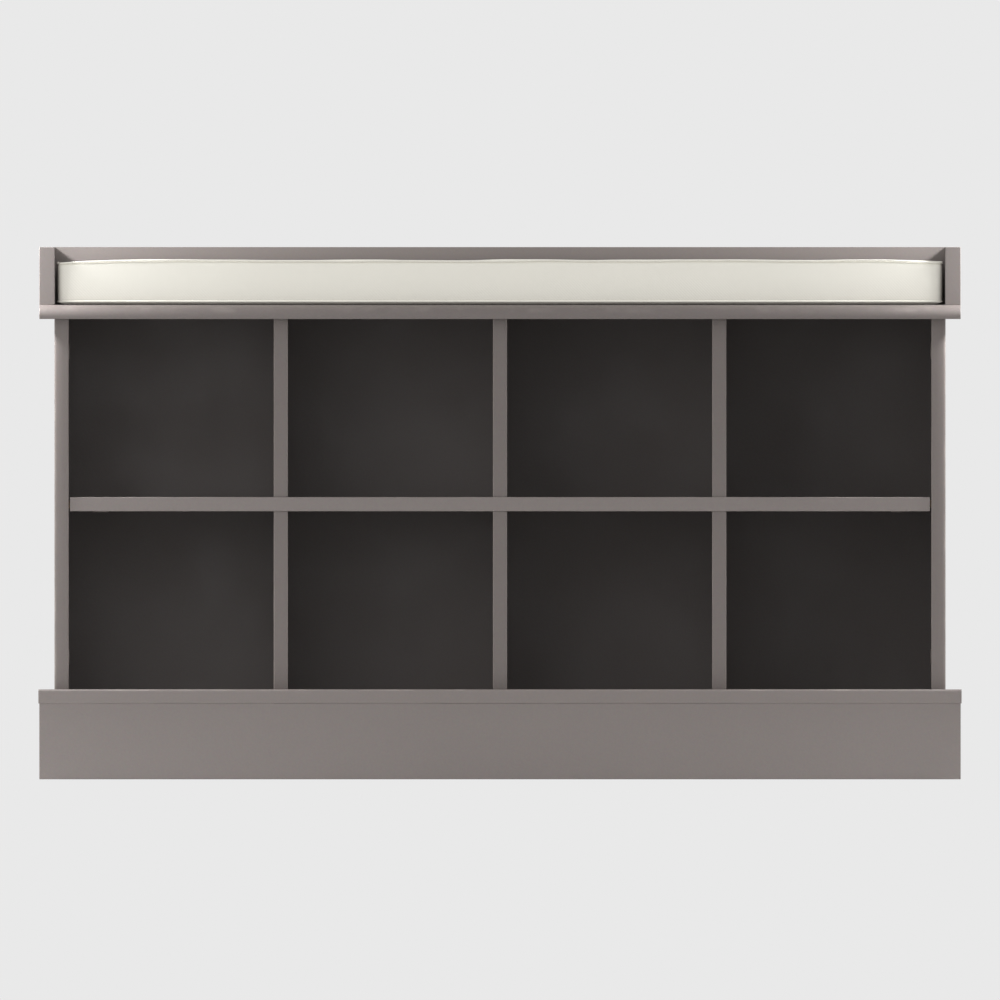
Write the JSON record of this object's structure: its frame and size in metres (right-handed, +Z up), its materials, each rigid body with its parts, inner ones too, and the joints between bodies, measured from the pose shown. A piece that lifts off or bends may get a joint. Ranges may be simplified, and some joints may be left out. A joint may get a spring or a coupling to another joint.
{
  "type": "storage bench",
  "caption": "Low storage bench with open cubbies in two rows on a closed plinth, low arms and back rail, and a loose box seat cushion.",
  "frame": {"origin": "on the floor, under the middle of the bench's bounding box", "axes": "+X to the right as seen from the front, -Y to the front, +Z up"},
  "size_m": [0.975, 0.37, 0.562],
  "materials": {
    "painted_board": "satin sprayed lacquer on board",
    "beech": "bare turned beech",
    "zinc_cam": "die-cast, matte",
    "plated_steel": "zinc plated",
    "cap_plastic": "moulded, satin",
    "cotton_cover": "plain-woven cotton, matte",
    "cushion_foam": "open-cell foam",
    "zip_tape": "woven tape with moulded coil",
    "zip_metal": "die-cast, satin"
  },
  "bodies": {
    "bench": {"seat_board": "painted_board", "arm_left": "painted_board", "arm_right": "painted_board", "back_rail": "painted_board", "side_panel_left": "painted_board", "side_panel_right": "painted_board", "middle_shelf": "painted_board", "divider_upper_left": "painted_board", "divider_upper_centre": "painted_board", "divider_upper_right": "painted_board", "divider_lower_left": "painted_board", "divider_lower_centre": "painted_board", "divider_lower_right": "painted_board", "bottom_board": "painted_board", "back_panel": "painted_board", "plinth_front": "painted_board", "plinth_back": "painted_board", "plinth_left": "painted_board", "plinth_right": "painted_board", "plinth_brace": "painted_board", "plinth_corner_blocks": "beech", "panel_dowels": "beech", "shelf_dowels": "beech", "divider_dowels": "beech", "divider_shelf_dowels": "beech", "arm_dowels": "beech", "rail_dowels": "beech", "plinth_dowels": "beech", "panel_cams": "zinc_cam", "shelf_cams": "zinc_cam", "rail_cams": "zinc_cam", "plinth_brackets": "plated_steel", "panel_cam_bolts": "plated_steel", "shelf_cam_bolts": "plated_steel", "rail_cam_bolts": "plated_steel", "arm_screws": "plated_steel", "rail_screws": "plated_steel", "corner_block_screws": "plated_steel", "bracket_screws": "plated_steel", "back_panel_nails": "plated_steel", "cam_caps": "cap_plastic"},
    "cushion": {"cushion_cover": "cotton_cover", "cushion_foam": "cushion_foam", "cushion_zip": "zip_tape"},
    "zip_slider": {"zip_slider": "zip_metal"}
  },
  "joints": [
    {"name": "cushion_lift", "type": "slide", "parent": "bench", "child": "cushion", "axis": [0, 0, 1], "range_m": [0, 0.1]},
    {"name": "zip_slide", "type": "slide", "parent": "cushion", "child": "zip_slider", "axis": [1, 0, 0], "range_m": [0, 0.756]}
  ]
}
